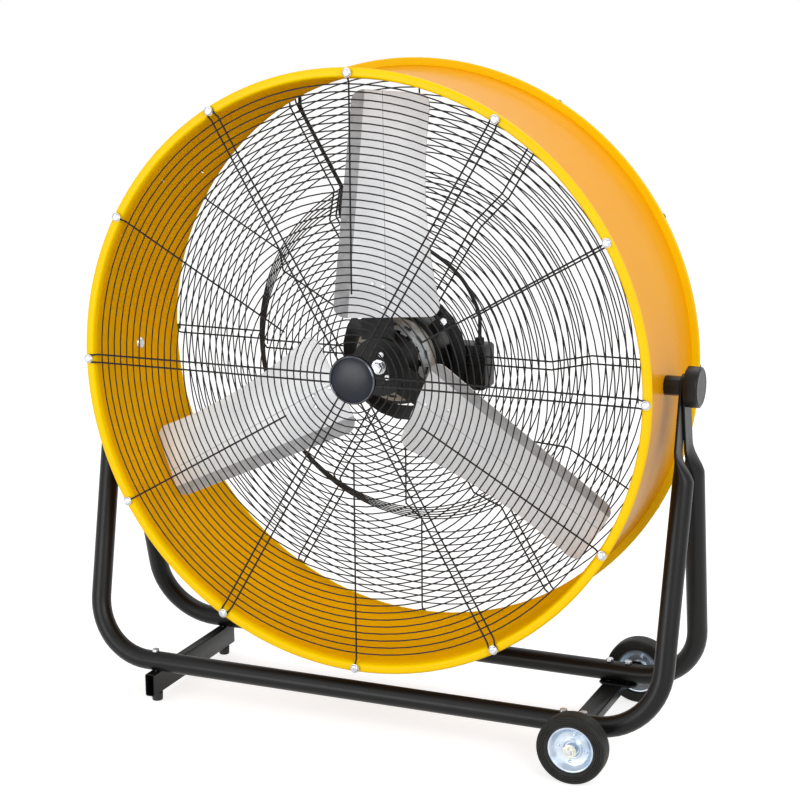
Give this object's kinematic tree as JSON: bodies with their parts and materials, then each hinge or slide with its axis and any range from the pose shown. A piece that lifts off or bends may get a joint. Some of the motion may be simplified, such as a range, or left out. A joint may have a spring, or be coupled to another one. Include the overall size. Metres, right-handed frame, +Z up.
{
  "type": "drum fan",
  "caption": "Large floor-standing air circulator: a tilting yellow drum with spiral wire guards and sheet blades, carried by a bent tube frame with transport wheels.",
  "frame": {"origin": "on the floor, under the middle of the drum", "axes": "+Z is up; the fan blows towards -Y; +X is to the right seen from the front, on the side of the wheels"},
  "size_m": [1.1942, 0.472, 1.2328],
  "materials": {
    "drum_yellow": "gloss enamel",
    "guard_black": "satin black coating",
    "frame_black": "satin black paint",
    "bright_zinc": "bright zinc plate",
    "yellow_zinc": "yellow zinc plate",
    "blade_aluminium": "satin mill finish",
    "motor_grey": "semi-gloss paint",
    "motor_black": "satin black paint",
    "black_plastic": "matt moulded",
    "cap_blue": "gloss",
    "cap_bright": "polished",
    "cord_black": "matt",
    "foot_rubber": "matt",
    "tyre_black": "matt rubber"
  },
  "bodies": {
    "frame": {"front_u_tube": "frame_black", "rear_u_tube": "frame_black", "left_crossbar": "frame_black", "right_crossbar": "frame_black", "frame_bolts": "bright_zinc", "rubber_feet": "foot_rubber", "front_wheel_bracket": "frame_black", "rear_wheel_bracket": "frame_black", "axle_bolts": "bright_zinc", "axle_nuts": "yellow_zinc"},
    "drum": {"drum_shell": "drum_yellow", "front_guard": "guard_black", "rear_guard": "guard_black", "front_guard_screws": "bright_zinc", "rear_guard_screws": "bright_zinc", "centre_plate": "guard_black", "cap_rim": "cap_bright", "centre_cap": "cap_blue", "motor_ring_plate": "guard_black", "motor_body": "motor_black", "motor_front_bell": "motor_grey", "motor_bolts": "bright_zinc", "junction_box": "motor_black", "motor_lead": "cord_black", "switch_box": "black_plastic", "switch_box_screws": "bright_zinc", "pivot_bolts": "bright_zinc", "pivot_spacers": "black_plastic"},
    "rotor": {"motor_shaft": "bright_zinc", "hub_spider": "motor_black", "hub_fasteners": "bright_zinc", "blade_1": "blade_aluminium", "blade_2": "blade_aluminium", "blade_3": "blade_aluminium", "blade_rivets_1": "blade_aluminium", "blade_rivets_2": "blade_aluminium", "blade_rivets_3": "blade_aluminium"},
    "dial": {"switch_dial": "black_plastic"},
    "knob_right": {"tilt_knob_right": "black_plastic"},
    "knob_left": {"tilt_knob_left": "black_plastic"},
    "wheel_front": {"front_wheel_tyre": "tyre_black", "front_wheel_disc": "bright_zinc"},
    "wheel_rear": {"rear_wheel_tyre": "tyre_black", "rear_wheel_disc": "bright_zinc"}
  },
  "joints": [
    {"name": "drum_tilt", "type": "hinge", "parent": "frame", "child": "drum", "pos_m": [0, 0, 0.679], "axis": [1, 0, 0], "range_deg": [-90, 90]},
    {"name": "rotor_spin", "type": "hinge", "parent": "drum", "child": "rotor", "pos_m": [0, -0.05, 0.679], "axis": [0, 1, 0], "continuous": true},
    {"name": "dial_turn", "type": "hinge", "parent": "drum", "child": "dial", "pos_m": [-0.45015, -0.008, 1.04522], "axis": [-0.7757, 0, 0.6311], "range_deg": [0, 90]},
    {"name": "knob_right_turn", "type": "hinge", "parent": "drum", "child": "knob_right", "pos_m": [0.583, 0, 0.679], "axis": [1, 0, 0], "range_deg": [0, 540]},
    {"name": "knob_left_turn", "type": "hinge", "parent": "drum", "child": "knob_left", "pos_m": [-0.583, 0, 0.679], "axis": [-1, 0, 0], "range_deg": [0, 540]},
    {"name": "wheel_front_roll", "type": "hinge", "parent": "frame", "child": "wheel_front", "pos_m": [0.436, -0.208, 0.0635], "axis": [0, 1, 0], "continuous": true},
    {"name": "wheel_rear_roll", "type": "hinge", "parent": "frame", "child": "wheel_rear", "pos_m": [0.436, 0.208, 0.0635], "axis": [0, 1, 0], "continuous": true}
  ]
}
